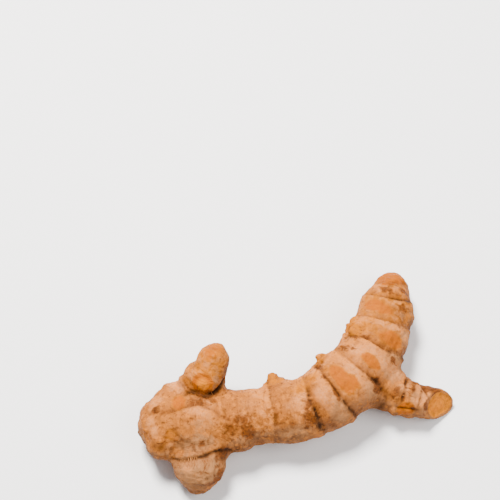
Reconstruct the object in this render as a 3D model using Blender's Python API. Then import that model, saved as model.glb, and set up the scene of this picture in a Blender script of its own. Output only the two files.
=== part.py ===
"""A turmeric rhizome as dug and cleaned, lying on a table.

It is one grown piece: a thick body that bends round to a rounded tip, four
fingers and a few buds. Every limb is a chain of internodes, which are the
lengths between two ring scars. One finger is cut through, and its flesh shows.

Lengths are in millimetres and angles in degrees until the mesh is made.
+X runs along the body, +Z is up, and the origin is under the middle of the
rhizome, on the table.
"""

import math
from typing import NamedTuple

import bmesh
import bpy
from mathutils import Matrix, Vector

MM = 0.001


class Internode(NamedTuple):
    """One length between two ring scars."""

    length: float  # along the limb, in plan
    girth: float  # diameter at its middle
    turn: float = 0.0  # to the left of the internode before it, seen from above
    lift: float = 0.0  # from the table to its underside, at its far end


# The body starts at its thick end, where it broke off the mother rhizome.
BODY_HEADING = -15.0
BODY_START_GIRTH = 17.0
BODY = (
    Internode(length=5.5, girth=21.0),
    Internode(length=14.0, girth=22.5, turn=20.0),
    Internode(length=17.5, girth=20.5, turn=3.0),
    Internode(length=15.5, girth=21.5, turn=1.0),
    Internode(length=12.0, girth=23.5, turn=22.0),
    Internode(length=10.0, girth=24.0, turn=16.0),
    Internode(length=9.5, girth=23.0, turn=11.0),
    Internode(length=10.5, girth=21.5, turn=12.0),
    Internode(length=11.0, girth=20.0, turn=1.0, lift=0.5),
    Internode(length=6.5, girth=14.0, turn=5.0, lift=2.5),
)


class Finger(NamedTuple):
    """A limb that starts on the body's middle line."""

    leaves: int  # the place in BODY of the internode at whose far end it starts
    heading: float  # from +X, seen from above
    internodes: tuple


NEAR_FINGER = Finger(
    leaves=1,
    heading=-118.0,
    internodes=(
        Internode(length=12.0, girth=19.5),
        Internode(length=8.5, girth=17.0, turn=25.0),
    ),
)
BLUNT_FINGER = Finger(
    leaves=0,
    heading=72.0,
    internodes=(
        Internode(length=8.0, girth=15.0, lift=2.0),
        Internode(length=5.0, girth=13.5, lift=6.0),
    ),
)
RISING_FINGER = Finger(
    leaves=1,
    heading=115.0,
    internodes=(
        Internode(length=10.5, girth=12.5, lift=9.0),
        Internode(length=5.5, girth=13.5, turn=-43.0, lift=13.5),
        Internode(length=7.0, girth=12.0, turn=-8.0, lift=19.0),
    ),
)
CUT_FINGER = Finger(
    leaves=5,
    heading=-30.0,
    internodes=(
        Internode(length=17.5, girth=17.0),
        Internode(length=5.5, girth=13.5, turn=19.0),
        Internode(length=12.0, girth=12.5, turn=4.0),
    ),
)
WHOLE_FINGERS = (NEAR_FINGER, BLUNT_FINGER, RISING_FINGER)

# One straight knife cut ends the cut finger. It faces this way, and crosses the
# finger's middle line this far short of where the finger would have ended.
CUT_FACING = Vector((0.58, -0.57, 0.58)).normalized()
CUT_OFF_LENGTH = 4.0


class Bud(NamedTuple):
    """A knob on the body, where a root or a finger began."""

    internode: int  # the place in BODY of the internode that it grows on
    share: float  # how far along that internode
    around: float  # 0 is the top of the body and 90 its left side
    girth: float
    stands: float  # from the body's skin to the middle of the knob


# The first is the broad heel beside the thick end. The others are small.
BUDS = (
    Bud(internode=0, share=0.6, around=-80.0, girth=12.5, stands=-3.0),
    Bud(internode=3, share=0.25, around=80.0, girth=6.0, stands=1.0),
    Bud(internode=4, share=0.95, around=80.0, girth=4.0, stands=2.5),
    Bud(internode=7, share=0.4, around=75.0, girth=7.0, stands=-1.5),
)

RING_WAIST = 0.94  # the girth at a ring scar, as a share of the thinner internode
TIP_GIRTH = 0.65  # the girth where a limb ends, as a share of its last internode
RESTING_FLAT = 0.4  # how far the skin is pressed flat where it meets the table

POINTS_PER_SPAN = 8
BEAD_STEP = 1.0  # between the balls that a limb is strung from
VOXEL = 1.8  # the size of the skin's facets
SMOOTHING_ROUNDS = 4


def heading_vector(degrees):
    return Vector((math.cos(math.radians(degrees)), math.sin(math.radians(degrees))))


def station(plan, girth, lift, belly=0.0):
    """A point of a middle line: its place and its radius. The thicker of girth
    and belly, which is the girth beside it, has its underside at lift."""
    middle = lift + max(girth, belly) / 2 - RESTING_FLAT
    return Vector((plan.x, plan.y, middle, girth / 2))


def limb_stations(start, heading, internodes):
    """The stations after start: one in the middle of each internode and one at
    each ring scar."""
    found = []
    plan, lift = start.xy, 0.0
    for node, after in zip(internodes, [*internodes[1:], None]):
        heading += node.turn
        way = heading_vector(heading) * node.length
        found.append(station(plan + way / 2, node.girth, (lift + node.lift) / 2))
        plan = plan + way
        if after:
            ring_girth = RING_WAIST * min(node.girth, after.girth)
            belly = max(node.girth, after.girth)
            found.append(station(plan, ring_girth, node.lift, belly))
        else:
            found.append(station(plan, TIP_GIRTH * node.girth, node.lift))
        lift = node.lift
    return found


def smooth_line(stations):
    """A smooth curve through the stations, with POINTS_PER_SPAN points a span."""
    first = 2 * stations[0] - stations[1]
    last = 2 * stations[-1] - stations[-2]
    ends = [first, *stations, last]
    found = []
    for before, start, end, after in zip(ends, ends[1:], ends[2:], ends[3:]):
        for step in range(POINTS_PER_SPAN):
            t = step / POINTS_PER_SPAN
            point = 2 * start + (end - before) * t
            point += (2 * before - 5 * start + 4 * end - after) * t**2
            point += (3 * start - before - 3 * end + after) * t**3
            found.append(point / 2)
    return [*found, stations[-1]]


def add_ball(shape, middle, radius):
    made = bmesh.ops.create_icosphere(shape, subdivisions=3, radius=radius)
    bmesh.ops.translate(shape, verts=made["verts"], vec=middle)


def add_limb(shape, stations):
    """Strings balls along a middle line, so close that they make one skin."""
    line = smooth_line(stations)
    for near, far in zip(line, line[1:]):
        steps = max(1, round((far.xyz - near.xyz).length / BEAD_STEP))
        for step in range(steps):
            bead = near.lerp(far, step / steps)
            add_ball(shape, bead.xyz, bead.w)
    add_ball(shape, line[-1].xyz, line[-1].w)


def add_bud(shape, body, bud):
    """A knob on the body's skin, joined to the middle line by its root."""
    start, middle, end = body[2 * bud.internode : 2 * bud.internode + 3]
    base = start.lerp(end, bud.share)
    base.w = middle.w
    along = (end.xyz - start.xyz).normalized()
    left = Vector((0, 0, 1)).cross(along).normalized()
    up = along.cross(left)
    around = math.radians(bud.around)
    out = up * math.cos(around) + left * math.sin(around)
    knob = base.xyz + out * (base.w + bud.stands)
    root = base.xyz + out * (base.w - bud.girth)
    for share in (0.0, 0.25, 0.5, 0.75, 1.0):
        add_ball(shape, root.lerp(knob, share), bud.girth / 2)


def finger_stations(body, finger):
    """A finger's stations, from inside the body to its tip."""
    start = body[2 * finger.leaves + 2].copy()
    start.w = finger.internodes[0].girth / 2 * RING_WAIST
    return [start, *limb_stations(start, finger.heading, finger.internodes)]


def grown_skin(shape):
    """One smooth closed mesh around all of the balls."""
    mesh = bpy.data.meshes.new("balls")
    shape.to_mesh(mesh)
    balls = bpy.data.objects.new("balls", mesh)
    bpy.context.scene.collection.objects.link(balls)
    skin = balls.modifiers.new("skin", "REMESH")
    skin.mode = "VOXEL"
    skin.voxel_size = VOXEL
    smooth = balls.modifiers.new("smooth", "SMOOTH")
    smooth.factor = 0.5
    smooth.iterations = SMOOTHING_ROUNDS
    graph = bpy.context.evaluated_depsgraph_get()
    grown = bpy.data.meshes.new_from_object(balls.evaluated_get(graph))
    bpy.data.objects.remove(balls)
    return grown


def slice_off(shape, point, facing):
    """Cuts off what lies beyond a plane, and closes the cut with a flat face."""
    everything = [*shape.verts, *shape.edges, *shape.faces]
    bmesh.ops.bisect_plane(
        shape, geom=everything, plane_co=point, plane_no=facing, clear_outer=True
    )
    rim = [edge for edge in shape.edges if edge.is_boundary]
    bmesh.ops.holes_fill(shape, edges=rim, sides=0)


def centre_on_table(shape):
    """Puts the origin under the middle of the bounding box, in metres."""
    places = [vert.co for vert in shape.verts]
    lowest = Vector([min(place[axis] for place in places) for axis in range(3)])
    highest = Vector([max(place[axis] for place in places) for axis in range(3)])
    middle = (lowest + highest) / 2
    middle.z = lowest.z
    bmesh.ops.transform(
        shape,
        verts=shape.verts,
        matrix=Matrix.Scale(MM, 4) @ Matrix.Translation(-middle),
    )


def skin_material():
    skin = bpy.data.materials.new("turmeric_skin")
    skin.use_nodes = True
    shader = skin.node_tree.nodes["Principled BSDF"]
    shader.inputs["Base Color"].default_value = (0.52, 0.27, 0.12, 1)
    shader.inputs["Roughness"].default_value = 0.6
    shader.inputs["Metallic"].default_value = 0.0
    return skin


def knife_cut(shape, stations):
    """Ends a finger in a flat cut across its last internode."""
    before_end, end = stations[-2].xyz, stations[-1].xyz
    crossing = end - (end - before_end).normalized() * CUT_OFF_LENGTH
    slice_off(shape, crossing, CUT_FACING)


def rhizome_mesh():
    shape = bmesh.new()
    start = station(Vector((0, 0)), BODY_START_GIRTH, 0.0)
    body = [start, *limb_stations(start, BODY_HEADING, BODY)]
    cut_finger = finger_stations(body, CUT_FINGER)
    whole_fingers = [finger_stations(body, finger) for finger in WHOLE_FINGERS]
    for stations in (body, cut_finger, *whole_fingers):
        add_limb(shape, stations)
    for bud in BUDS:
        add_bud(shape, body, bud)
    mesh = grown_skin(shape)
    shape.clear()
    shape.from_mesh(mesh)
    knife_cut(shape, cut_finger)
    slice_off(shape, Vector((0, 0, 0)), Vector((0, 0, -1)))
    centre_on_table(shape)
    shape.to_mesh(mesh)
    shape.free()
    return mesh


def main():
    for leftover in list(bpy.data.objects):
        bpy.data.objects.remove(leftover)
    mesh = rhizome_mesh()
    mesh.name = "rhizome"
    mesh.materials.clear()
    mesh.materials.append(skin_material())
    mesh.shade_smooth()
    rhizome = bpy.data.objects.new("rhizome", mesh)
    bpy.context.scene.collection.objects.link(rhizome)


main()
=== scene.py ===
"""The looks of a turmeric rhizome that lies on a table.

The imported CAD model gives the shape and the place. Its surface is copied, made
fine, and given what a rhizome's skin has: ring scars with their raised lips,
lumps, root scars, patches rubbed through to the orange flesh, and a knife cut.
What is left of the leaf sheaths is a piece of its own.

Lengths are in millimetres and angles in degrees, until an object is made.
"""

import itertools
import math
from typing import NamedTuple

import bmesh
import bpy
import numpy as np
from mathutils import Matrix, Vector
from mathutils.bvhtree import BVHTree


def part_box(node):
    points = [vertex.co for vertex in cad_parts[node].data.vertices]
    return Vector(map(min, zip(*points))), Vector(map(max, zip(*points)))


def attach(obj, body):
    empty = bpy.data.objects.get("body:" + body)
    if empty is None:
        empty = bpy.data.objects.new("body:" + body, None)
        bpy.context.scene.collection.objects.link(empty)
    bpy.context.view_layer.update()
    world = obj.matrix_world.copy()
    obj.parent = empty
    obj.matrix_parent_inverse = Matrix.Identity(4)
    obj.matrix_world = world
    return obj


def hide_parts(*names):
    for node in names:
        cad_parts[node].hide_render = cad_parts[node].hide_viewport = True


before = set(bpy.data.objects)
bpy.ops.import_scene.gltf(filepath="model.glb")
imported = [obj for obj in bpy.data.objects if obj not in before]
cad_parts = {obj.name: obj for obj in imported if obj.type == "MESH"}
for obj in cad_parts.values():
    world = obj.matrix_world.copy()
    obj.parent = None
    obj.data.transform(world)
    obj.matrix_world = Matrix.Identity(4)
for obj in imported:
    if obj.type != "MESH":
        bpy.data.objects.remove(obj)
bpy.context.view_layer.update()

MM = 0.001
TOP, RIGHT = 0.0, -90.0  # sides of a limb, seen along it


# --- The limbs, as the CAD model has them


class Internode(NamedTuple):
    """One length between two ring scars."""

    length: float
    girth: float
    turn: float = 0.0
    lift: float = 0.0


class Finger(NamedTuple):
    leaves: int  # the body at this ring, counted from 0
    heading: float
    internodes: tuple


BODY_HEADING = -15.0
BODY_START_GIRTH = 17.0
BODY = (
    Internode(length=5.5, girth=21),
    Internode(length=14, girth=22.5, turn=20),
    Internode(length=17.5, girth=20.5, turn=3),
    Internode(length=15.5, girth=21.5, turn=1),
    Internode(length=12, girth=23.5, turn=22),
    Internode(length=10, girth=24, turn=16),
    Internode(length=9.5, girth=23, turn=11),
    Internode(length=10.5, girth=21.5, turn=12),
    Internode(length=11, girth=20, turn=1, lift=0.5),
    Internode(length=6.5, girth=14, turn=5, lift=2.5),
)
FINGERS = {
    "near": Finger(
        leaves=1,
        heading=-118,
        internodes=(
            Internode(length=12, girth=19.5),
            Internode(length=8.5, girth=17, turn=25),
        ),
    ),
    "blunt": Finger(
        leaves=0,
        heading=72,
        internodes=(
            Internode(length=8, girth=15, lift=2),
            Internode(length=5, girth=13.5, lift=6),
        ),
    ),
    "rising": Finger(
        leaves=1,
        heading=115,
        internodes=(
            Internode(length=10.5, girth=12.5, lift=9),
            Internode(length=5.5, girth=13.5, turn=-43, lift=13.5),
            Internode(length=7, girth=12, turn=-8, lift=19),
        ),
    ),
    "cut": Finger(
        leaves=5,
        heading=-30,
        internodes=(
            Internode(length=17.5, girth=17),
            Internode(length=5.5, girth=13.5, turn=19),
            Internode(length=12, girth=12.5, turn=4),
        ),
    ),
}
CUT_FACING = np.array([0.58, -0.57, 0.58]) / np.linalg.norm([0.58, -0.57, 0.58])
CUT_OFF_LENGTH = 4.0
RING_WAIST = 0.94
TIP_GIRTH = 0.65
RESTING_FLAT = 0.4
LINE_STEP = 0.5  # between the points that a limb's middle line is read at
POINTS_AT_A_TIME = 4000  # whose places on a limb are found together


# --- What the skin shows


class Ring(NamedTuple):
    """A ring scar. The skin lips up to it and steps in past it."""

    at: float  # along the limb's middle line
    step: float  # how far the limb steps in
    dark: float
    bow: float = 0.0  # how much further along it runs on one side
    towards: float = TOP  # that side
    dark_side: float = RIGHT  # the side where it is darkest


RINGS = {
    "body": (
        Ring(6.3, 0.15, dark=0.1),
        Ring(21.3, 0.35, dark=0.5, dark_side=-40),
        Ring(38.2, 0.35, bow=0.8, dark=0.55, dark_side=0),
        Ring(53.3, 0.6, bow=-0.6, towards=20, dark=1, dark_side=-30),
        Ring(62.5, 0.8, bow=-2, towards=40, dark=0.9, dark_side=-28),
        Ring(74.3, 0.9, bow=-2.6, towards=20, dark=0.8, dark_side=-50),
        Ring(84.5, 1, bow=-1.9, towards=20, dark=0.8, dark_side=-55),
        Ring(94.6, 0.9, bow=-2, towards=20, dark=0.6, dark_side=-60),
        Ring(104.6, 0.7, bow=-2.3, towards=40, dark=0.9, dark_side=-40),
        Ring(109.8, 0.35, bow=-3.2, towards=20, dark=0.4, dark_side=0),
    ),
    "near": (
        Ring(17.6, 0.15, dark=0.2),
        Ring(20.6, 0.3, dark=0.6, dark_side=40),
    ),
    "blunt": (Ring(9.1, 0.3, dark=0.3), Ring(14, 0.3, dark=0.5)),
    "rising": (
        Ring(13.4, 0.6, dark=0.6),
        Ring(20, 0.12, bow=2, towards=-45, dark=0.35),
        Ring(25.5, 0.2, bow=0.8, dark=0.3, dark_side=0),
    ),
    "cut": (
        Ring(17.4, 0.35, bow=-1, dark=0.6, dark_side=150),
        Ring(22.5, 0.4, bow=-1, dark=0.6, dark_side=150),
        Ring(27.6, 0.2, dark=0.5, dark_side=60),
    ),
}


class Spot(NamedTuple):
    """An oval area of the skin, given on a limb."""

    limb: str
    at: float  # along the limb's middle line
    around: float  # the side that it is on
    long: float  # half its length along the limb
    wide: float  # half its width around the limb
    much: float = 1.0


def spots(**rows_of_limb):
    """Spots from each limb's rows of their other values."""
    return tuple(Spot(limb, *row) for limb, rows in rows_of_limb.items() for row in rows)


# Where rubbing or breaking has laid the orange flesh bare. The wide weak ones are a
# golden tint.
WORN = spots(
    body=(
        (1.2, -44, 1.6, 2.4, 0.6), (5.9, -38, 2.2, 2.2, 0.6), (7.6, 30, 2.4, 3.2, 1.3),
        (45, 165, 6, 4, 0.5), (51.2, 30, 3.8, 3.6, 0.5), (56, 34, 3.5, 3, 0.55),
        (63.4, 40, 2, 4, 0.5), (65.4, 4, 2.7, 6.6, 1.4), (67, -12, 2, 3.4, 1.2),
        (70, 120, 3, 3, 0.6), (76, -14, 2, 4.4, 1.4), (85.8, -12, 2.6, 3.4, 0.8),
        (86.3, -32, 3, 4.6, 1.35), (86.5, -4, 4, 12, 0.4), (88, 24, 2.6, 4, 0.45),
        (92, 150, 5, 4, 0.7), (96.4, 6, 2.4, 4.4), (97, 30, 2.6, 4.8, 1.2),
        (98.5, -50, 2.6, 4, 0.55), (101, 6, 12, 14, 0.45), (107, 24, 2, 2.4, 1.6),
        (110.5, 14, 5, 6.5, 1.3),
    ),
    near=((16, 140, 3, 3, 0.5),),
    rising=(
        (14.6, 66, 2, 3, 0.7), (17.4, 6, 3.6, 3.6, 2.3), (20, -40, 4, 4, 0.4), (22, 10, 8, 8, 0.5),
        (25, 22, 4, 5, 0.75), (27.4, 20, 3, 4, 0.8),
    ),
    cut=((19, -60, 2.8, 3, 1.9), (28, -52, 1.4, 3.6, 0.75)),
)
# Thin skin that the pale flesh under it shows through.
PALE_SPOTS = spots(
    body=(
        (2.6, 22, 2.6, 4, 0.7), (3, -20, 2.4, 2.6, 0.6), (4.4, -40, 2.2, 2.4, 0.7),
        (14, 6, 4.5, 3, 0.7), (14.5, -6, 4, 2.6, 0.5), (31, 8, 4, 3, 0.4), (45.7, -6, 3, 3, 0.5),
        (50.4, 0, 4, 4, 0.7), (56.5, -8, 3.2, 5), (60, -50, 2.5, 4, 0.5), (65.5, -28, 2, 2.4, 0.7),
        (69.4, 0, 2.2, 4.4), (71, -12, 13, 13, 0.45), (76.5, 16, 2.8, 4.5, 0.9),
        (76.8, -30, 2.4, 3.4, 1.1), (79.2, -10, 2, 4.5), (79.5, -58, 3.6, 5, 0.9),
        (90.5, -66, 2.5, 3, 0.7), (91.6, -20, 1.6, 6, 1.1), (100.6, -10, 2, 3.6),
    ),
    near=((16, -34, 2.4, 2.8, 0.7),),
    blunt=((6.5, 55, 2.6, 4, 0.9), (12.8, 36, 3.8, 4.4, 1.4)),
    rising=((19.2, 4, 1.4, 2.6, 0.9), (20.6, -4, 2, 3.4, 0.8)),
    cut=(
        (17.2, 6, 2, 2.6, 0.9), (20.5, -8, 2.4, 3.2, 1.1), (23.6, -20, 1.8, 2.4),
        (25, -10, 2.4, 3, 0.7),
    ),
)
# Old ashen skin.
ASHEN_SPOTS = spots(
    body=(
        (12, -52, 7, 4, 0.8), (15, -20, 5, 4, 0.4), (33, 150, 8, 6, 0.7), (45, -60, 8, 4, 0.5),
        (58.5, -44, 4, 6, 0.9), (70, -52, 3.5, 5, 0.8), (80, -58, 5, 6), (80, 140, 6, 6, 0.6),
        (91, -66, 3, 3.5, 0.9),
    ),
    near=((17, 10, 7, 12, 1.1),),
    cut=((17, 10, 3, 5, 0.5), (22, -6, 3, 5, 0.7)),
)
# Brown soil stains and bruises, and one wide faint tint.
STAINS = spots(
    body=(
        (3.4, 2, 1.4, 1.6, 0.9), (5.2, -36, 1.2, 1.6, 0.6), (10.4, -38, 1.4, 1.8, 0.6),
        (13.5, -62, 5, 3, 0.5), (15, 27, 5, 2.4, 0.8), (21, -44, 1.2, 2, 0.7),
        (22.4, -36, 3.2, 4, 0.5), (23, -24, 2, 3, 0.5), (27.6, -22, 3.6, 3.4, 0.9),
        (29.8, -44, 3, 3.6, 0.9), (31, 100, 6, 5, 0.6), (36, -26, 14, 9, 0.28),
        (45.5, -36, 2, 2, 0.5), (51.6, -34, 2.6, 5.6), (52.6, -8, 1, 2.4, 0.9),
        (60, 170, 9, 4, 0.8), (60.6, 22, 1, 2.2, 0.7), (61.2, -14, 0.9, 3), (61.4, 58, 1.6, 4, 0.9),
        (72.8, -54, 2.2, 3.4), (73.9, -44, 1.6, 2.6, 0.8), (74.9, 44, 1.5, 2.4, 0.9),
        (76.3, 34, 1, 2.4, 0.8), (82, 42, 1, 3.4, 0.9), (82.8, -50, 1.2, 3, 0.8),
        (83.8, 20, 0.8, 2.4, 0.8), (95, -100, 5, 4, 0.6), (97.9, -36, 2.4, 2.6, 0.6),
        (98.6, -34, 2.6, 2.8, 0.7), (105.4, 12, 1.8, 4.2, 0.8), (106.4, -28, 1.4, 2.6, 0.9),
    ),
    near=(
        (10.5, 62, 3.4, 3, 0.9), (11.3, 0, 1.3, 1.6, 0.8), (16.3, 58, 3.6, 3.6, 0.7),
        (17.1, 12, 1.6, 1.8, 0.7), (17.9, 64, 2.6, 2.6, 0.9), (18.5, 60, 3.2, 3, 0.9),
        (20, -90, 2.5, 4, 0.5), (20.6, 30, 1.8, 3, 0.8),
    ),
    rising=((14.2, 84, 1.8, 2.4, 0.6),),
    cut=(
        (15.6, -22, 1.6, 2.6, 0.7), (16.4, 34, 1, 2.4, 0.8), (17.7, -24, 1, 1.6),
        (18.6, 22, 1, 2, 0.8), (21.6, 14, 0.8, 1.8, 0.7), (22.6, -44, 1, 1.6, 0.8),
        (25.5, 50, 5.5, 3, 1.3), (26.4, -32, 1.2, 2.4),
    ),
)
# Swellings that the CAD model leaves out.
LUMPS = spots(
    body=(
        (1, -20, 2.2, 2.6, 0.5), (4.6, -48, 3, 3, 0.9), (13, -30, 6.5, 6, 0.7),
        (27.5, -84, 4, 5, 1.5), (47, -88, 12, 4.5, 0.7), (74.4, 42, 1.5, 2.2, 0.7),
        (84, 48, 2.6, 3.4, 0.9), (86.5, -76, 6.5, 4, 1.2), (97, -76, 4.5, 3.5, 0.8),
    ),
    near=((17, -84, 4, 3, 0.5), (17.5, 78, 4, 3, 0.8)),
    blunt=((11, 62, 4.5, 4.5, 1.6), (12.6, 34, 3, 3.6, 0.9), (13, -10, 3, 4, 0.8)),
    rising=((15.6, 84, 4.5, 4, 1.8), (19.5, 0, 4, 9, 0.6)),
    cut=(
        (17.6, -84, 2.2, 2.4, 1.2), (19.5, 30, 1.6, 3.6, 0.8), (21.6, -14, 2.4, 3.6, 0.9),
        (25, -40, 1.8, 3, 0.5),
    ),
)
# Small hard knobs.
KNOBS = spots(
    body=(
        (1.8, -36, 0.9, 0.9), (2.6, 66, 1.5, 1.3), (3.2, -60, 0.8, 0.8), (4.9, -52, 1.1, 1.1),
        (5.9, -61, 0.9, 0.9), (6.8, -46, 0.7, 0.7), (62, 66, 0.9, 0.9), (73.6, 62, 1, 1),
        (75, 50, 0.8, 0.8), (83.3, 50, 1, 1), (84.6, 38, 0.8, 0.8), (85.5, 54, 1.1, 1.1),
        (86.6, 41, 1.2, 1.2), (86.8, 48, 1.3, 1.3), (88.4, 58, 0.8, 0.8),
    ),
    near=((19, 0, 0.6, 0.6),),
    rising=((22.6, 40, 0.6, 0.6), (24.8, 0, 0.8, 0.8)),
    cut=((18.5, -30, 0.7, 0.7),),
)
# Round scars where roots grew. Each is a pit with a rim and a nub inside it.
ROOT_SCARS = spots(body=((3.6, 2, 1.6, 1.5),), near=((18.6, 20, 0.7, 0.7),))
# The CAD model's three small buds, and the knobs on the bend: ragged and orange-brown.
BUDS = spots(
    body=((41.8, 80, 4, 4), (64.9, 80, 3.4, 3.4), (84.6, 48, 2.6, 3.2, 0.7), (89.3, 75, 4.2, 4.2)),
)


class Crease(NamedTuple):
    """A groove along a line on the skin. The skin on the line's left is higher."""

    line: tuple  # of places on the skin: limb, length along it, angle around it
    depth: float
    width: float
    # dark is how much painted shade lies along the groove
    dark: float
    step: float = 0.0


def on(limb, *places):
    """Places on one limb, each a length along it and an angle around it."""
    return tuple((limb, *place) for place in places)


FIRST_LOBE = Crease(  # the body's first lobe stands over the fingers behind it
    on("body", (21, -14), (19.2, 2), (16.7, 9), (13.3, 13), (9, 12), (6.3, 7), (4.6, -6)),
    depth=0.2,
    width=0.8,
    dark=0.35,
    step=1.2,
)
NEAR_ROOT = Crease(
    on("near", (13.5, -95), (14.5, -64), (14.5, -36), (14.1, -8), (13.6, 16))
    + on("near", (11.8, 36), (9, 54), (7, 72)),
    depth=0.6,
    width=0.7,
    dark=0.9,
    step=0.7,
)
EGG_ROOT = Crease(  # round the egg-shaped end of the rising finger
    on("rising", (13.4, 60), (13.8, 30), (13.8, -8), (14.6, -38), (16.2, -56), (19, -80)),
    depth=0.9,
    width=0.9,
    dark=1.0,
    step=-0.3,
)
CUT_ROOT = Crease(
    on("body", (72.6, -30), (73.6, -46), (73.8, -66))
    + on("cut", (13.2, -32), (13.8, -60), (12.6, -90)),
    depth=0.7,
    width=0.9,
    dark=0.8,
    step=0.4,
)
CUT_FOLDS = (  # across the cut finger, from its root to its end
    Crease(
        on("cut", (16, 75), (16.6, 48), (17.2, 20), (17.6, -4), (17.7, -24), (17.9, -46)),
        depth=0.7,
        width=0.6,
        dark=0.75,
        step=0.1,
    ),
    Crease(on("cut", (18.6, 48), (19, 12), (19.3, -14)), depth=0.45, width=0.5, dark=0.45),
    Crease(on("cut", (17.6, -62), (19.4, -50), (21.4, -46)), depth=0.5, width=0.5, dark=0.7),
    Crease(
        on("cut", (24.6, 34), (26, 8), (27, -14), (27.2, -36), (27, -66)),
        depth=0.6,
        width=0.6,
        dark=0.8,
        step=0.2,
    ),
)
UNDER_KNOBS = Crease(
    on("body", (80.6, 60), (82, 44), (83.2, 28)), depth=0.5, width=0.6, dark=0.8, step=-0.4
)
BESIDE_HEEL = Crease(
    on("body", (7.5, -72), (7.8, -52), (6.4, -30)), depth=0.35, width=0.8, dark=0.3
)
CREASES = (FIRST_LOBE, NEAR_ROOT, EGG_ROOT, CUT_ROOT, *CUT_FOLDS, UNDER_KNOBS, BESIDE_HEEL)


# --- Middle lines


def station(plan, girth, lift, belly=0.0):
    middle = lift + max(girth, belly) / 2 - RESTING_FLAT
    return np.array([*plan, middle, girth / 2])


def limb_stations(start, heading, internodes):
    """Each station is a point of the middle line, and the radius there."""
    found = [start]
    plan, lift = start[:2], 0.0
    for node, after in zip(internodes, [*internodes[1:], None]):
        heading += node.turn
        angle = math.radians(heading)
        way = np.array([math.cos(angle), math.sin(angle)]) * node.length
        found.append(station(plan + way / 2, node.girth, (lift + node.lift) / 2))
        plan = plan + way
        if after:
            ring_girth = RING_WAIST * min(node.girth, after.girth)
            belly = max(node.girth, after.girth)
            found.append(station(plan, ring_girth, node.lift, belly))
        else:
            found.append(station(plan, TIP_GIRTH * node.girth, node.lift))
        lift = node.lift
    return np.array(found)


def smooth_line(stations):
    """A smooth curve through the stations, read every LINE_STEP or closer."""
    ends = [2 * stations[0] - stations[1], *stations, 2 * stations[-1] - stations[-2]]
    found = []
    for before, start, end, after in zip(ends, ends[1:], ends[2:], ends[3:]):
        count = math.ceil(np.linalg.norm(end - start) / LINE_STEP)
        for t in np.arange(count) / count:
            point = 2 * start + (end - before) * t
            point = point + (2 * before - 5 * start + 4 * end - after) * t**2
            point = point + (3 * start - before - 3 * end + after) * t**3
            found.append(point / 2)
    return np.array([*found, stations[-1]])


def unit(vectors):
    return vectors / np.linalg.norm(vectors, axis=-1, keepdims=True)


class Limb:
    """A middle line with its length, directions and radius at every point."""

    def __init__(self, line, shift):
        self.line = line[:, :3] + shift
        self.radius = line[:, 3]
        steps = np.linalg.norm(np.diff(self.line, axis=0), axis=1)
        self.length = np.concatenate([[0.0], np.cumsum(steps)])
        self.way = unit(np.gradient(self.line, axis=0))
        self.left = unit(np.cross([0.0, 0.0, 1.0], self.way))
        self.up = np.cross(self.way, self.left)

    def read(self, values, at):
        """One of the line's values at that length along it."""
        columns = np.atleast_2d(values.T)
        found = np.array([np.interp(at, self.length, column) for column in columns])
        return found[0] if values.ndim == 1 else found

    def out(self, at, around):
        """The direction out of the limb on that side."""
        angle = math.radians(around)
        up, left = self.read(self.up, at), self.read(self.left, at)
        return unit(up * math.cos(angle) + left * math.sin(angle))

    def on_skin(self, at, around):
        middle, radius = self.read(self.line, at), self.read(self.radius, at)
        return middle + self.out(at, around) * radius

    def locate(self, points):
        """The Place of each point."""
        parts = np.array_split(points, 1 + len(points) // POINTS_AT_A_TIME)
        found = [((part[:, None] - self.line) ** 2).sum(2).argmin(1) for part in parts]
        nearest = np.concatenate(found)
        offset = points - self.line[nearest]
        past = (offset * self.way[nearest]).sum(1)
        sideways = (offset * self.left[nearest]).sum(1)
        upwards = (offset * self.up[nearest]).sum(1)
        distance = np.linalg.norm(offset, axis=1)
        return Place(
            along=self.length[nearest] + past,
            angle=np.arctan2(sideways, upwards),
            distance=distance,
            beyond=distance - self.radius[nearest],
        )


class Place(NamedTuple):
    """Where points are on a limb."""

    along: np.ndarray
    angle: np.ndarray
    distance: np.ndarray  # from the middle line
    beyond: np.ndarray  # how far out of the skin


def make_limbs():
    """The limbs in the CAD model's place: its box is centred on the origin."""
    start = station(np.zeros(2), BODY_START_GIRTH, 0.0)
    body = limb_stations(start, BODY_HEADING, BODY)
    stations = {"body": body}
    for name, finger in FINGERS.items():
        root = body[2 * finger.leaves + 2].copy()
        root[3] = finger.internodes[0].girth / 2 * RING_WAIST
        stations[name] = limb_stations(root, finger.heading, finger.internodes)
    lines = {name: smooth_line(found) for name, found in stations.items()}
    low, high = (np.array(corner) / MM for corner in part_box("rhizome"))
    near_low = (lines["near"][:, 1] - lines["near"][:, 3]).min()
    tip_high = (lines["body"][:, 1] + lines["body"][:, 3]).max()
    x = low[0] - (lines["body"][:, 0] - lines["body"][:, 3]).min()
    y = (low[1] - near_low + high[1] - tip_high) / 2
    shift = np.array([x, y, 0.0])
    limbs = {name: Limb(line, shift) for name, line in lines.items()}
    before_end, end = stations["cut"][-2:, :3] + shift
    cut_point = end - unit(end - before_end) * CUT_OFF_LENGTH
    return limbs, cut_point


# --- Working on a surface's points


class Grain:
    """Smooth noise, from about -1 to 1, at points in space."""

    def __init__(self, seed):
        chance = np.random.default_rng(seed)
        self.shuffle = np.tile(chance.permutation(256), 3)
        self.slopes = unit(chance.normal(size=(256, 3)))

    def __call__(self, points, size):
        places = points / size
        cells = np.floor(places).astype(int)
        inside = places - cells
        cells = cells % 256
        fade = inside**3 * (inside * (inside * 6 - 15) + 10)
        total = np.zeros(len(points))
        for corner in itertools.product((0, 1), repeat=3):
            x, y, z = (cells + corner).T
            slope = self.slopes[self.shuffle[self.shuffle[self.shuffle[x] + y] + z]]
            share = np.where(corner, fade, 1 - fade).prod(1)
            total += share * (slope * (inside - corner)).sum(1)
        return total * 1.5


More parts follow.
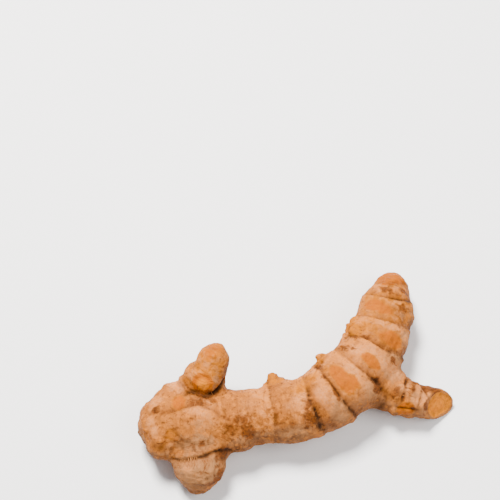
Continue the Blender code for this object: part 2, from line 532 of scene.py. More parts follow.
def ease(values, low, high):
    """0 below low, 1 above high, and smooth in between."""
    t = np.clip((values - low) / (high - low), 0.0, 1.0)
    return t * t * (3 - 2 * t)


def neighbour_means(points, edges):
    """The mean of the points that edges join to each point."""
    count = np.bincount(edges.ravel(), minlength=len(points))[:, None]
    total = np.zeros_like(points)
    for here, there in (edges.T, edges.T[::-1]):
        for axis in range(3):
            total[:, axis] += np.bincount(here, points[there, axis], len(points))
    return total / count


def read(items, field, width, kind=float):
    """A field of every one of a mesh's items, as a row for each."""
    values = np.empty(len(items) * width, kind)
    items.foreach_get(field, values)
    return values.reshape(-1, width)


def write_points(mesh, points):
    mesh.vertices.foreach_set("co", points.ravel())
    mesh.update()


def store(mesh, name, values):
    """Keeps one number, or one vector, for each point, for the material."""
    kind, field = ("FLOAT", "value") if values.ndim == 1 else ("FLOAT_VECTOR", "vector")
    mesh.attributes.new(name, kind, "POINT").data.foreach_set(field, values.ravel())


def finish_mesh(name, shape):
    mesh = bpy.data.meshes.new(name)
    shape.to_mesh(mesh)
    shape.free()
    return mesh


def link(name, data):
    made = bpy.data.objects.new(name, data)
    bpy.context.scene.collection.objects.link(made)
    return made


# --- The skin

GRAIN_SEED = 11
SCAR_SEED = 5
RANDOM_SCARS = 34
SKIN_FACET = 0.42
SMOOTHING_ROUNDS = 18
CUT_REACH = 12.0  # the knife's plane is only the cut this close to its middle
CUT_BAND = 0.12  # a point this little under the plane is on the cut
CUT_FADE = 2.5  # how far under the plane the skin's relief is full again
RING_LIP = 0.3  # how far the skin rises towards a ring, for a step of 1
LIP_LENGTH = 1.7
STEP_LENGTH = 0.7
BASE_LENGTH = 2.6  # from a ring to where the limb is full again
LAST_LENGTH = 8.0  # taken as the length past a limb's last ring
JOIN_SOFTNESS = 0.7  # how widely one limb's marks fade into another's
SPOT_EDGE = 1.6  # a spot ends where the squared offset, in its half lengths, is this
SPOT_DEPTH = 3.0  # the least half length of a spot across the skin's depth
CREASE_REACH = 14.0  # a crease marks no point further than this from its middle


def fine_copy(node):
    """A copy of a CAD node in small even facets, in millimetres."""
    shape = bmesh.new()
    shape.from_mesh(node.data)
    bmesh.ops.scale(shape, vec=(1 / MM, 1 / MM, 1 / MM), verts=shape.verts)
    bmesh.ops.remove_doubles(shape, verts=shape.verts, dist=0.001)
    coarse = link("coarse", finish_mesh("coarse", shape))
    remesh = coarse.modifiers.new("remesh", "REMESH")
    remesh.mode = "VOXEL"
    remesh.voxel_size = SKIN_FACET
    graph = bpy.context.evaluated_depsgraph_get()
    fine = bpy.data.meshes.new_from_object(coarse.evaluated_get(graph))
    bpy.data.objects.remove(coarse)
    return fine


def past_cut(points, cut_point):
    """How far past the knife's plane each point is, and whether it is near the cut."""
    near = np.linalg.norm(points - cut_point, axis=1) < CUT_REACH
    return (points - cut_point) @ CUT_FACING, near


def smooth_skin(points, edges, cut_point):
    """Irons out the CAD model's facets, and keeps the knife cut flat and sharp."""
    past, near = past_cut(points, cut_point)
    on_cut = near & (past > -CUT_BAND)
    for _ in range(SMOOTHING_ROUNDS):
        points = (points + neighbour_means(points, edges)) / 2
        off_cut = (points[on_cut] - cut_point) @ CUT_FACING
        points[on_cut] -= off_cut[:, None] * CUT_FACING
    return points, on_cut


def limb_shares(places):
    """How much of each point's look comes from each limb."""
    beyond = np.array([place.beyond for place in places.values()])
    shares = np.exp((beyond.min(0) - beyond) / JOIN_SOFTNESS)
    return dict(zip(places, shares / shares.sum(0)))


def around_ring(grain, place, ring, size):
    """Noise that changes around a ring and is the same along the limb."""
    swing = np.array([np.cos(place.angle), np.sin(place.angle)]).T * 10.0
    depth = np.full((len(swing), 1), ring.at * 3.1)
    return grain(np.hstack([swing, depth]), size)


def past_ring(grain, place, ring):
    """How far past a ring each point is, on a ring that wanders a little."""
    tilt = ring.bow * np.cos(place.angle - math.radians(ring.towards))
    wander = 0.35 * around_ring(grain, place, ring, 4.0)
    wander += 0.12 * around_ring(grain, place, ring, 1.3)
    return place.along - ring.at - tilt - wander


def ring_marks(grain, place, rings):
    """The rings' height, dark scar, painted highlight on the raised rim before each ring and
    painted shade in the step past it, on one limb, and how far each point is through its internode,
    from 0 to 1."""
    height, dark, lip, painted_step_shade, tone = np.zeros((5, len(place.along)))
    ends = [ring.at for ring in rings[1:]] + [rings[-1].at + LAST_LENGTH]
    for ring, end in zip(rings, ends):
        past = past_ring(grain, place, ring)
        broken = ease(around_ring(grain, place, ring, 3.2), -0.45, 0.45)
        step = ring.step * (0.45 + 0.55 * broken)
        rise = RING_LIP * np.exp(-((np.minimum(past, 0) / LIP_LENGTH) ** 2))
        drop = ease(past, -0.2, STEP_LENGTH)
        refill = np.exp(-np.maximum(past - STEP_LENGTH, 0) / BASE_LENGTH)
        height += step * (rise * (1 - drop) - (1 - RING_LIP) * drop * refill)
        turn = np.cos(place.angle - math.radians(ring.dark_side))
        here = 0.3 + 0.7 * ease(turn, 0.3, 0.9)
        line = np.exp(-(((past - 0.3) / (0.35 + 0.3 * here)) ** 2))
        ragged = ease(around_ring(grain, place, ring, 1.1) + broken - 0.5, -0.5, 0.4)
        dark = np.maximum(dark, ring.dark * line * here * (0.3 + 0.7 * ragged))
        # Painted highlight on the raised rim just before the ring.
        near_side = ease(-past, 0.0, 0.35) * np.exp(np.minimum(past, 0) / LIP_LENGTH)
        lip = np.maximum(lip, near_side * min(1.0, ring.step / 0.6))
        # Painted shade where the skin steps in past the ring.
        far_side = drop * np.exp(-np.maximum(past, 0) / BASE_LENGTH)
        painted_step_shade = np.maximum(painted_step_shade, far_side * min(1.0, ring.step / 0.6) * here)
        tone = np.where(past > 0, np.clip(past / (end - ring.at), 0, 1), tone)
    return height, dark, lip, painted_step_shade, tone


def spot_share(limbs, points, spot):
    """How deep in a spot each point is: 1 at its middle and 0 from its edge on."""
    limb = limbs[spot.limb]
    out = limb.out(spot.at, spot.around)
    middle = limb.on_skin(spot.at, spot.around)
    way = limb.read(limb.way, spot.at)
    offset = points - middle
    reach = ((offset @ way) / spot.long) ** 2
    reach += ((offset @ np.cross(out, way)) / spot.wide) ** 2
    reach += ((offset @ out) / max(spot.long, spot.wide, SPOT_DEPTH)) ** 2
    return np.clip(1 - reach / SPOT_EDGE, 0.0, 1.0) * spot.much


def all_spots(limbs, points, group):
    return np.max([spot_share(limbs, points, spot) for spot in group], axis=0)


def scar_marks(limbs, points, scars):
    """The root scars' height, and how dark they are."""
    height, dark = np.zeros((2, len(points)))
    for scar in scars:
        inside = spot_share(limbs, points, scar)
        rim = np.exp(-(((inside - 0.35) / 0.2) ** 2)) * (inside > 0)
        nub = ease(inside, 0.8, 1.0)
        pit = ease(inside, 0.4, 0.75)
        height += 0.15 * rim - 0.2 * pit + 0.25 * nub
        dark = np.maximum(dark, 0.5 * pit - 0.4 * nub)
    return height, dark


def beside_crease(limbs, points, crease):
    """Which points are close to a crease, and how far each of them is above its
    line, to the left of it and past its end."""
    stops = [(limbs[name], at, around) for name, at, around in crease.line]
    line = smooth_line(np.array([limb.on_skin(at, around) for limb, at, around in stops]))
    outs = np.array([limb.out(at, around) for limb, at, around in stops])
    shares = np.linspace(0, len(stops) - 1, len(line))
    out = [np.interp(shares, np.arange(len(stops)), column) for column in outs.T]
    out = unit(np.array(out).T)
    way = unit(np.gradient(line, axis=0))
    close = np.flatnonzero(np.abs(points - line.mean(0)).max(1) < CREASE_REACH)
    offset = points[close, None] - line
    nearest = (offset**2).sum(2).argmin(1)
    offset = offset[np.arange(len(close)), nearest]
    sides = (out, np.cross(out, way), way)
    return close, *((offset * side[nearest]).sum(1) for side in sides)


def crease_marks(limbs, grain, points, crease):
    """A crease's height, its dark line, which is painted shade in the groove, and a painted
    highlight on the higher side of its step with painted shade on the lower side.
    """
    close, above, left, past_end = beside_crease(limbs, points, crease)
    wander = 0.3 * grain(points[close] + 7, 2.2) + 0.12 * grain(points[close], 0.9)
    distance = np.hypot(left + wander, past_end)
    broken = ease(grain(points[close], 3.0), -0.5, 0.4)
    near = np.exp(-((above / 3.0) ** 2)) * (0.6 + 0.4 * broken)
    groove = np.exp(-((distance / crease.width) ** 2)) * near
    side = (ease(left + wander, -crease.width, crease.width) - 0.5) * near
    fade = np.exp(-((distance / 3.0) ** 2)) * np.exp(-((past_end / 0.8) ** 2))
    height, dark, lip, painted_step_shade = np.zeros((4, len(points)))
    height[close] = crease.step * side * fade - crease.depth * groove
    # The groove's dark line is painted shade.
    dark[close] = crease.dark * groove
    stepped = 2 * side * fade * min(1.0, abs(crease.step) / 0.7) * np.sign(crease.step)
    # Painted highlight on the step's higher side, painted shade on its lower side.
    lip[close] = np.clip(stepped, 0, 1) * np.exp(-np.abs(left) / 1.5)
    painted_step_shade[close] = np.clip(-stepped, 0, 1) * np.exp(-np.abs(left) / 2.5)
    return height, dark, lip, painted_step_shade


def random_scars(chance, limbs):
    """Root scars in places of their own, most of them low on the limbs."""
    found = []
    names = ["body", "body", "body", "near", "blunt", "cut"]
    for _ in range(RANDOM_SCARS):
        name = names[chance.integers(len(names))]
        at = chance.uniform(0.05, 0.9) * limbs[name].length[-1]
        around = 180 + chance.normal() * 32
        size = chance.uniform(0.7, 1.2)
        found.append(Spot(name, at, around, size, size))
    return tuple(found)


def skin_relief(grain, limbs, places, shares, points):
    """The skin's marks. One is the height, which is how far a point stands out."""
    names = ("height", "dark", "lip", "painted_step_shade", "tone")
    marks = dict(zip(names, np.zeros((len(names), len(points)))))
    for name, place in places.items():
        for total, mark in zip(marks.values(), ring_marks(grain, place, RINGS[name])):
            total += mark * shares[name]
    height, dark = marks["height"], marks["dark"]
    scars = ROOT_SCARS + random_scars(np.random.default_rng(SCAR_SEED), limbs)
    scar_height, scar_dark = scar_marks(limbs, points, scars)
    height += scar_height
    np.maximum(dark, scar_dark, out=dark)
    # Creases add painted shade in their grooves to the scars' own dark, and painted highlight and
    # shade beside their steps.
    for crease in CREASES:
        more, *colours = crease_marks(limbs, grain, points, crease)
        height += more
        for name, mark in zip(("dark", "lip", "painted_step_shade"), colours):
            np.maximum(marks[name], mark, out=marks[name])
    lumps = [(spot_share(limbs, points, lump), lump.much) for lump in LUMPS]
    height += sum(ease(share, 0, much) * much for share, much in lumps)
    knobs = [spot_share(limbs, points, knob) * knob.long for knob in KNOBS]
    height += 0.75 * np.max(knobs, axis=0)
    height += 0.42 * grain(points, 7.5) + 0.26 * grain(points + 50, 3.3)
    height += 0.2 * grain(points + 90, 1.8) + 0.1 * grain(points + 10, 1.0)
    marks["ragged"] = all_spots(limbs, points, BUDS)
    roughness = 0.8 * grain(points, 2.1) + 0.3 * grain(points, 1.0)
    height += ease(marks["ragged"], 0, 0.5) * roughness
    rough_end = np.exp(-np.maximum(places["body"].along, 0) / 7) * shares["body"]
    height += rough_end * (0.4 * grain(points + 20, 2.6) + 0.15 * grain(points, 1.2))
    return marks


def straightened(places, shares):
    """Each point as if its limb were straight, along +X: grain then follows it."""
    owner = np.argmax(list(shares.values()), axis=0)
    found = np.zeros((len(owner), 3))
    for index, place in enumerate(places.values()):
        across = place.distance * np.cos(place.angle), place.distance * np.sin(place.angle)
        mine = owner == index
        found[mine] = np.array([place.along, *across]).T[mine]
        found[mine, 0] += 200 * index
    return found


def fine_lines(grain, straight):
    """The skin's lengthwise fibres and crosswise wrinkles."""
    lengthwise = grain(straight * [0.16, 1.0, 1.0], 0.75)
    crosswise = grain(straight * [1.0, 0.2, 0.2] + 30, 0.8)
    return 0.035 * lengthwise + 0.03 * crosswise


CUT_SECTORS = 36  # of the cut, each with its own reach from the middle to the edge
CUT_SUNK = 0.35  # how far the cut flesh has dried in below its rim
CUT_RIM = 0.9  # how gently it goes down from there
SKIN_SHARE = 0.14  # of the way in from the cut's edge is skin
CURLED_SHARE = 0.80  # on the side where the skin has curled over the cut
CURL = 1.0  # how far it stands up there


def cut_marks(points, on_cut, cut_point):
    """How far across the bare flesh each point on the cut is, 0 at its middle and
    1 at its edge, and how far the point stands out of the knife's plane."""
    flat = points[on_cut] - cut_point
    flat -= flat.mean(0)
    side = unit(np.cross(CUT_FACING, [0.0, 0.0, 1.0]))
    rise = np.cross(CUT_FACING, side)
    plane = np.array([flat @ side, flat @ rise]).T
    angle = np.arctan2(plane[:, 1], plane[:, 0])
    reach = np.linalg.norm(plane, axis=1)
    sector = ((angle + math.pi) / math.tau * CUT_SECTORS).astype(int) % CUT_SECTORS
    outline = np.array([reach[sector == index].max() for index in range(CUT_SECTORS)])
    smooth = (outline + np.roll(outline, 1) + np.roll(outline, -1)) / 3
    centres = (np.arange(CUT_SECTORS) + 0.5) / CUT_SECTORS * math.tau - math.pi
    rim = np.interp(angle, centres, smooth, period=math.tau)
    inner = ease(-flat[:, 0] / reach.max(), 0.0, 0.8)  # the side nearer the body
    edge = 1 - SKIN_SHARE - (CURLED_SHARE - SKIN_SHARE) * inner
    edge = edge * (1 + 0.06 * np.sin(2 * angle + 1) + 0.04 * np.sin(3 * angle))
    across = reach / rim / edge
    stands = CURL * inner * ease(across, 0.95, 1.2) * ease(rim - reach, 0.0, 0.8)
    stands -= CUT_SUNK * ease((1 - across) * rim, 0.0, CUT_RIM)
    found = np.full(len(points), 2.0)
    found[on_cut] = across
    return found, stands


def colour_marks(limbs, points, normals):
    """Marks that only the colour comes from."""
    # lit is how far the skin faces the key light; low is painted shade, strongest on the sides
    # turned away from it
    lit = normals[:, 2] + 0.25 * normals[:, 1] - 0.2 * normals[:, 0]
    return {
        "worn": all_spots(limbs, points, WORN),
        "pale": all_spots(limbs, points, PALE_SPOTS),
        "ashen": all_spots(limbs, points, ASHEN_SPOTS),
        "stain": all_spots(limbs, points, STAINS),
        "low": 1 - ease(lit, -0.1, 0.9),
    }


def make_skin(limbs, cut_point):
    mesh = fine_copy(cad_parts["rhizome"])
    mesh.name = "skin"
    rough_points = read(mesh.vertices, "co", 3)
    past, near = past_cut(rough_points, cut_point)
    cut_point = cut_point + past[near].max() * CUT_FACING
    edges = read(mesh.edges, "vertices", 2, np.int32)
    points, on_cut = smooth_skin(rough_points, edges, cut_point)
    write_points(mesh, points)
    normals = read(mesh.vertex_normals, "vector", 3)
    places = {name: limb.locate(points) for name, limb in limbs.items()}
    shares = limb_shares(places)
    grain = Grain(GRAIN_SEED)
    marks = skin_relief(grain, limbs, places, shares, points)
    straight = straightened(places, shares)
    across, stands = cut_marks(points, on_cut, cut_point)
    past, near = past_cut(points, cut_point)
    calm = np.where(near, 0.25 + 0.75 * ease(-past, 0.0, CUT_FADE), 1.0)
    height = (marks["height"] + fine_lines(grain, straight)) * calm
    height[on_cut] = 0.0
    points = points + normals * height[:, None]
    stands += 0.08 * grain(points[on_cut], 0.9)
    points[on_cut] += stands[:, None] * CUT_FACING
    points[:, 2] = np.maximum(points[:, 2], 0.0)
    write_points(mesh, points * MM)
    marks |= colour_marks(limbs, points, normals)
    marks |= {"height": height, "across": across, "straight": straight}
    marks["flesh"] = 1 - ease(across, 0.93, 1.05)
    for name, values in marks.items():
        store(mesh, name, values)
    mesh.shade_smooth()
    return link("skin", mesh)


# --- What is left of the leaf sheaths


class Fringe(NamedTuple):
    """Strands that grow from a line across a limb, forward along it."""

    limb: str
    at: float
    towards: float  # the middle of the side that they are on
    spread: float  # how far to each side of it they grow
    count: int
    length: float
    lift: float  # how far their ends stand off the skin


FRINGES = (
    Fringe("near", 14.4, -16, 50, 34, 2.8, 0.12),
    Fringe("near", 14.6, -110, 40, 12, 3, 0.3),
    Fringe("rising", 14.6, 10, 70, 14, 1.6, 0.2),
    Fringe("cut", 17.8, 30, 60, 16, 1.8, 0.3),
    Fringe("body", 84, 60, 30, 12, 1.8, 0.5),
    Fringe("body", 73.4, 62, 30, 10, 1.8, 0.5),
    Fringe("body", 62.6, 66, 26, 10, 1.8, 0.5),
    Fringe("body", 38.4, 75, 40, 8, 1.6, 0.3),
    Fringe("body", 21.3, 170, 60, 10, 2.2, 0.3),
    Fringe("body", 53.3, 150, 50, 12, 2.2, 0.3),
    Fringe("body", 74.3, 150, 50, 12, 2, 0.3),
    Fringe("body", 94.6, 150, 50, 12, 2, 0.3),
    Fringe("body", 104.8, -60, 50, 12, 1.4, 0.2),
)
FIBRE_SEED = 3
STRAND_RADIUS = 0.14
STRAND_SIDES = 5
STRAND_STOPS = 6
NO_STRANDS_WAY = (0.31, 0.52, 0.79)  # no strand runs this way


def strand(chance, limb, tree, fringe):
    """One strand's middle points, laid on the skin, and its radii."""
    around = fringe.towards + chance.uniform(-1, 1) * fringe.spread
    start = fringe.at + chance.normal() * 0.3
    length = fringe.length * chance.uniform(0.4, 1.0)
    drift = chance.normal() * 5.0
    lift = fringe.lift * chance.uniform(0.2, 1.0)
    shares = np.linspace(0, 1, STRAND_STOPS)
    middles = []
    for share in shares:
        guess = limb.on_skin(start + length * share, around + drift * share)
        place, normal, _, _ = tree.find_nearest(Vector(guess))
        middles.append(np.array(place + normal * (lift * share**2 - 0.03)))
    radii = STRAND_RADIUS * chance.uniform(0.6, 1.2) * (1.02 - shares) ** 0.6
    return np.array(middles), radii


def add_tube(shape, middles, radii):
    """A closed tube that tapers along its middle points."""
    rings = []
    ways = unit(np.gradient(middles, axis=0))
    turns = math.tau * np.arange(STRAND_SIDES) / STRAND_SIDES
    for middle, radius, way in zip(middles, radii, ways):
        side = unit(np.cross(way, NO_STRANDS_WAY))
        other = np.cross(way, side)
        corners = [middle + radius * (math.cos(t) * side + math.sin(t) * other) for t in turns]
        rings.append([shape.verts.new(corner * MM) for corner in corners])
    for ring, after in zip(rings, rings[1:]):
        for index in range(STRAND_SIDES):
            beside = (index + 1) % STRAND_SIDES
            shape.faces.new((ring[index], ring[beside], after[beside], after[index]))
    shape.faces.new(rings[0][::-1])
    shape.faces.new(rings[-1])


def make_fibres(limbs, skin):
    chance = np.random.default_rng(FIBRE_SEED)
    corners = [vertex.co / MM for vertex in skin.data.vertices]
    faces = [tuple(face.vertices) for face in skin.data.polygons]
    tree = BVHTree.FromPolygons(corners, faces)
    shape = bmesh.new()
    for fringe in FRINGES:
        for _ in range(fringe.count):
            add_tube(shape, *strand(chance, limbs[fringe.limb], tree, fringe))
    mesh = finish_mesh("ring_fibres", shape)
    mesh.shade_smooth()
    return link("ring_fibres", mesh)


# --- Materials


class Nodes:
    """Builds a Principled material's nodes, each from plain values or sockets."""

    def __init__(self, name):
        self.material = bpy.data.materials.new(name)
        self.material.use_nodes = True
        self.tree = self.material.node_tree
        self.shader = self.tree.nodes["Principled BSDF"]

    def put(self, socket, value):
        if isinstance(value, bpy.types.NodeSocket):
            self.tree.links.new(value, socket)
        elif isinstance(value, tuple) and len(value) == 3 and socket.type == "RGBA":
            socket.default_value = (*value, 1.0)
        else:
            socket.default_value = value

    def node(self, kind, inputs=(), **settings):
        made = self.tree.nodes.new(kind)
        for name, value in settings.items():
            setattr(made, name, value)
        for key, value in dict(inputs).items():
            self.put(made.inputs[key], value)
        return made

    def mark(self, name):
        return self.node("ShaderNodeAttribute", attribute_name=name).outputs["Fac"]

    def finish(self, values):
        """Puts values or sockets into the shader's inputs, and gives the material."""
        for name, value in values.items():
            self.put(self.shader.inputs[name], value)
        return self.material

    def math(self, operation, *values):
        made = self.node("ShaderNodeMath", dict(enumerate(values)), operation=operation)
        return made.outputs[0]

    def ramp(self, value, low, high, start=0.0, end=1.0):
        """value from low to high becomes start to end, smoothly."""
        inputs = {
            "Value": value,
            "From Min": low,
            "From Max": high,
            "To Min": start,
            "To Max": end,
        }
        made = self.node("ShaderNodeMapRange", inputs, interpolation_type="SMOOTHSTEP")
        return made.outputs["Result"]

    def uneven_mark(self, name, grain, swing):
        """A mark that grain raises or lowers by up to swing."""
        return self.math("ADD", self.mark(name), self.ramp(grain, 0.3, 0.7, -swing, swing))

    def grain(self, place, size, detail=3.0, roughness=0.55, warp=0.0):
        """Noise from 0 to 1 whose features are about size long, in place's units."""
        inputs = {
            "Vector": place,
            "Scale": 1 / size,
            "Detail": detail,
            "Roughness": roughness,
            "Distortion": warp,
        }
        return self.node("ShaderNodeTexNoise", inputs).outputs["Fac"]

    def mix(self, share, first, second):
        made = self.node("ShaderNodeMix", data_type="RGBA")
        self.put(made.inputs["Factor"], share)
        self.put(made.inputs[6], first)
        self.put(made.inputs[7], second)
        return made.outputs[2]

    def stretch(self, place, scale):
        made = self.node("ShaderNodeVectorMath", {0: place, 1: scale}, operation="MULTIPLY")
        return made.outputs[0]

    def bump(self, height, strength, distance, normal=None):
        inputs = {"Height": height, "Strength": strength, "Distance": distance}
        if normal:
            inputs["Normal"] = normal
        return self.node("ShaderNodeBump", inputs).outputs["Normal"]


# Linear colours.
TAN = (0.32, 0.100, 0.016)
PEACH = (0.53, 0.163, 0.019)
PINK = (0.45, 0.163, 0.045)
CREAM = (0.53, 0.210, 0.072)
# Painted shade on the sides turned from the key light.
PAINTED_SHADE_GREY = (0.27, 0.118, 0.046)
ASHEN = (0.34, 0.155, 0.060)
OCHRE = (0.33, 0.102, 0.005)
BROWN = (0.055, 0.017, 0.005)
RED_BROWN = (0.15, 0.037, 0.005)
DARK = (0.014, 0.005, 0.002)
STRAW = (0.34, 0.130, 0.034)
ORANGE = (0.34, 0.077, 0.0001)
AMBER = (0.38, 0.110, 0.0001)
GOLD = (0.66, 0.192, 0.0001)
DEEP_ORANGE = (0.48, 0.122, 0.0001)
CUT_ORANGE = (0.64, 0.188, 0.0001)


def base_colour(n, place, mottle):
    """Sound skin: browner past a ring, pinker up to the next; greyer, then brown, as painted shade
    where it turns from the key light.
    """
    patch = n.grain(place, 0.007, detail=4.0)
    through = n.uneven_mark("tone", patch, 0.45)
    start = n.mix(n.ramp(mottle, 0.48, 0.72, 0.0, 0.6), TAN, OCHRE)
    end = n.mix(n.ramp(mottle, 0.35, 0.65), PINK, PEACH)
    colour = n.mix(n.ramp(through, 0.15, 0.95), start, end)
    # Painted shade: grey, and brown where the skin turns furthest from the key light.
    low = n.math("ADD", n.mark("low"), n.ramp(patch, 0.3, 0.7, -0.25, 0.2))
    painted_shade_tone = n.mix(n.ramp(mottle, 0.52, 0.8), PAINTED_SHADE_GREY, TAN)
    colour = n.mix(n.ramp(low, 0.1, 0.7, 0.0, 0.9), colour, painted_shade_tone)
    return n.mix(n.ramp(low, 0.65, 1.05, 0.0, 0.5), colour, BROWN)


def worn_colour(n, colour, mottle, fleck):
    """Adds ashen, pale and rubbed patches, the rubbed ones golden where most of the
    skin is gone. Also gives where those are."""
    ashen = n.uneven_mark("ashen", mottle, 0.3)
    colour = n.mix(n.ramp(ashen, 0.1, 0.8, 0.0, 0.8), colour, ASHEN)
    pale = n.uneven_mark("pale", mottle, 0.25)
    pale_tone = n.mix(n.ramp(fleck, 0.3, 0.6), PEACH, CREAM)
    colour = n.mix(n.ramp(pale, 0.1, 0.9, 0.0, 0.8), colour, pale_tone)
    broken = n.uneven_mark("worn", mottle, 0.3)
    worn = n.ramp(broken, 0.1, 0.8)
    tone = n.mix(n.ramp(n.mark("worn"), 0.35, 0.85), AMBER, ORANGE)
    tone = n.mix(n.ramp(fleck, 0.45, 0.65, 0.0, 0.4), tone, AMBER)
    tone = n.mix(n.ramp(n.mark("worn"), 1.4, 2.4), tone, GOLD)
    return n.mix(n.math("MULTIPLY", worn, 0.97), colour, tone), worn


def soiled_colour(n, colour, mottle, fleck):
    """Adds the painted shade past the rings and in the hollows, the stains, and the dark of scars
    with the painted shade of creases' grooves.
    """
    # Painted shade on the lower side of steps, past rings and beside creases.
    painted_step_shade = n.math("MULTIPLY", n.mark("painted_step_shade"), n.ramp(mottle, 0.35, 0.6, 0.3, 1.0))
    colour = n.mix(n.math("MULTIPLY", painted_step_shade, 0.8), colour, RED_BROWN)
    soiled = n.uneven_mark("stain", mottle, 0.4)
    stain_tone = n.mix(n.ramp(fleck, 0.4, 0.6), BROWN, RED_BROWN)
    colour = n.mix(n.ramp(soiled, 0.1, 0.85, 0.0, 0.88), colour, stain_tone)
    ragged = n.math("MULTIPLY", n.ramp(n.mark("ragged"), 0.0, 0.5), n.ramp(fleck, 0.3, 0.6))
    colour = n.mix(n.math("MULTIPLY", ragged, 0.92), colour, AMBER)
    # Painted shade: browner where the skin is sunk, in grooves, steps and pits.
    colour = n.mix(n.ramp(n.mark("height"), -0.15, -0.9, 0.0, 0.5), colour, BROWN)
    # The scars' own dark, with the painted shade of the creases' grooves.
    scar = n.math("MULTIPLY", n.mark("dark"), n.ramp(fleck, 0.3, 0.5, 0.6, 1.0))
    return n.mix(scar, colour, DARK)


def skin_colour(n, place, along):
    """The skin's colour from its marks, each broken up by grain."""
    mottle = n.grain(place, 0.0024, detail=5.0, roughness=0.6, warp=0.5)
    fleck = n.grain(place, 0.0008, detail=4.0, roughness=0.65)
    colour = base_colour(n, place, mottle)
    # Painted highlight, in peach, on the raised rims before rings and the higher sides of creases.
    lip = n.math("MULTIPLY", n.mark("lip"), n.ramp(mottle, 0.25, 0.6, 0.3, 1.0))
    colour = n.mix(n.math("MULTIPLY", lip, 0.8), colour, PEACH)
    streak = n.grain(n.stretch(along, (1.0, 0.22, 0.22)), 0.9, detail=4.0)
    colour = n.mix(n.ramp(streak, 0.5, 0.72, 0.0, 0.35), colour, BROWN)
    blotch = n.ramp(n.grain(place, 0.0045, detail=5.0, roughness=0.6, warp=0.4), 0.54, 0.68)
    colour = n.mix(n.math("MULTIPLY", blotch, 0.35), colour, RED_BROWN)
    light = n.ramp(n.grain(place, 0.0015, detail=4.0, roughness=0.6), 0.52, 0.64, 0.0, 0.55)
    colour = n.mix(light, colour, PEACH)
    speck = n.ramp(n.grain(place, 0.0013, detail=4.0, roughness=0.65), 0.53, 0.65, 0.0, 0.6)
    colour = n.mix(speck, colour, BROWN)
    colour, worn = worn_colour(n, colour, mottle, fleck)
    return soiled_colour(n, colour, mottle, fleck), worn


def flesh_colour(n, place):
    """The cut's colour: a deep orange core inside a brighter ring."""
    across = n.mark("across")
    grain = n.grain(place, 0.0012, detail=5.0)
    core = n.mix(n.ramp(grain, 0.35, 0.65), DEEP_ORANGE, CUT_ORANGE)
    cortex = n.mix(n.ramp(grain, 0.35, 0.65), CUT_ORANGE, AMBER)
    colour = n.mix(n.ramp(across, 0.52, 0.62), core, cortex)
    ring = n.math("MULTIPLY", n.ramp(across, 0.5, 0.57), n.ramp(across, 0.68, 0.6))
    return n.mix(n.math("MULTIPLY", ring, 0.15), colour, RED_BROWN)


def skin_material():
    n = Nodes("turmeric_skin")
    place = n.node("ShaderNodeTexCoord").outputs["Object"]
    along = n.node("ShaderNodeAttribute", attribute_name="straight").outputs["Vector"]
    colour, worn = skin_colour(n, place, along)
    flesh = n.mark("flesh")
    colour = n.mix(flesh, colour, flesh_colour(n, place))
    sheen = n.grain(place, 0.0016, detail=4.0)
    roughness = n.ramp(sheen, 0.3, 0.7, 0.5, 0.7)
    wet = n.math("MAXIMUM", n.math("MULTIPLY", worn, 0.1), n.math("MULTIPLY", flesh, 0.2))
    roughness = n.math("SUBTRACT", roughness, wet)
    fibres = n.grain(n.stretch(along, (0.12, 1.0, 1.0)), 0.45, detail=4.0)
    wrinkles = n.grain(n.stretch(along, (1.0, 0.25, 0.25)), 0.6, detail=4.0, warp=0.3)
    pores = n.grain(place, 0.00035, detail=4.0, roughness=0.6)
    relief = n.bump(fibres, 0.6, 0.0002)
    relief = n.bump(wrinkles, 0.9, 0.0004, relief)
    relief = n.bump(pores, 0.9, 0.00018, relief)
    values = {"Base Color": colour, "Roughness": roughness, "Normal": relief}
    return n.finish(values | {"Specular IOR Level": 0.03})


def fibre_material():
    n = Nodes("turmeric_fibres")
    place = n.node("ShaderNodeTexCoord").outputs["Object"]
    patch = n.grain(place, 0.003, detail=3.0)
    colour = n.mix(n.ramp(patch, 0.35, 0.65), STRAW, RED_BROWN)
    colour = n.mix(n.ramp(n.grain(place, 0.0006), 0.45, 0.65, 0.0, 0.5), colour, BROWN)
    roughness = n.ramp(patch, 0.3, 0.7, 0.6, 0.8)
    relief = n.bump(n.grain(place, 0.0003), 0.4, 0.00005)
    values = {"Base Color": colour, "Roughness": roughness, "Normal": relief}
    return n.finish(values | {"Specular IOR Level": 0.08})


# --- The stage

ELEVATION = 65.0  # the camera's angle above the horizon
CAMERA_DISTANCE = 0.437
VIEW_WIDTH = 0.175  # of the table, at the root
ROOT_ASIDE = 0.0168  # the root lies right of the middle of the view
ROOT_BELOW = 0.0443  # and below it
SENSOR = 36.0
AIM_HEIGHT = 0.010
FLOOR_REACH = 2.0


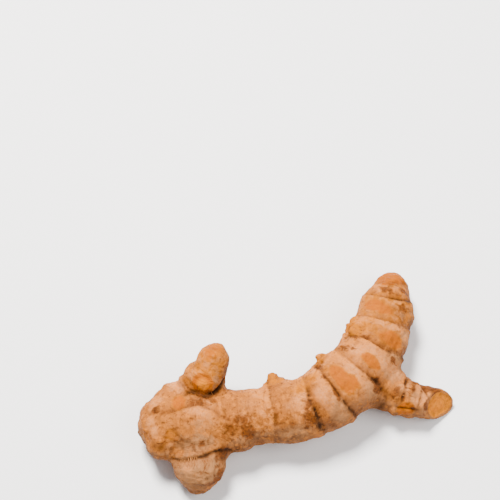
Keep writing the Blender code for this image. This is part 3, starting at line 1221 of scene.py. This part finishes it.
def make_camera():
    angle = math.radians(ELEVATION)
    up = Vector((0, math.sin(angle), math.cos(angle)))
    back = Vector((0, -math.cos(angle), math.sin(angle)))
    aim = Vector((-ROOT_ASIDE, 0, AIM_HEIGHT)) + up * ROOT_BELOW
    data = bpy.data.cameras.new("camera")
    data.sensor_width = SENSOR
    data.lens = SENSOR * CAMERA_DISTANCE / VIEW_WIDTH
    data.clip_start = 0.01
    camera = link("camera", data)
    camera.location = aim + back * CAMERA_DISTANCE
    camera.rotation_euler = back.to_track_quat("Z", "Y").to_euler()
    bpy.context.scene.camera = camera


def add_softbox(name, place, size, watts, colour):
    data = bpy.data.lights.new(name, "AREA")
    data.size = size
    data.energy = watts
    data.color = colour
    light = link(name, data)
    light.location = place
    light.rotation_euler = Vector(place).to_track_quat("Z", "Y").to_euler()


def make_lights():
    add_softbox("key", (-0.20, 0.36, 0.74), size=0.24, watts=28.0, colour=(1.0, 0.97, 0.92))
    add_softbox("fill", (0.50, -0.15, 0.60), size=0.60, watts=6.0, colour=(1.0, 0.97, 0.93))
    world = bpy.data.worlds.new("room")
    world.use_nodes = True
    room = world.node_tree.nodes["Background"]
    room.inputs["Color"].default_value = (0.97, 0.97, 1.0, 1.0)
    room.inputs["Strength"].default_value = 0.42
    bpy.context.scene.world = world


def make_floor():
    shape = bmesh.new()
    bmesh.ops.create_grid(shape, x_segments=1, y_segments=1, size=FLOOR_REACH)
    floor = link("floor", finish_mesh("floor", shape))
    n = Nodes("floor")
    place = n.node("ShaderNodeTexCoord").outputs["Object"]
    roughness = n.ramp(n.grain(place, 0.05), 0.3, 0.7, 0.7, 0.8)
    material = n.finish({"Base Color": (0.90, 0.90, 0.92), "Roughness": roughness})
    floor.data.materials.append(material)


def main():
    limbs, cut_point = make_limbs()
    skin = make_skin(limbs, cut_point)
    skin.data.materials.clear()
    skin.data.materials.append(skin_material())
    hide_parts("rhizome")
    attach(skin, "root")
    fibres = make_fibres(limbs, skin)
    fibres.data.materials.append(fibre_material())
    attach(fibres, "root")
    make_camera()
    make_lights()
    make_floor()


main()
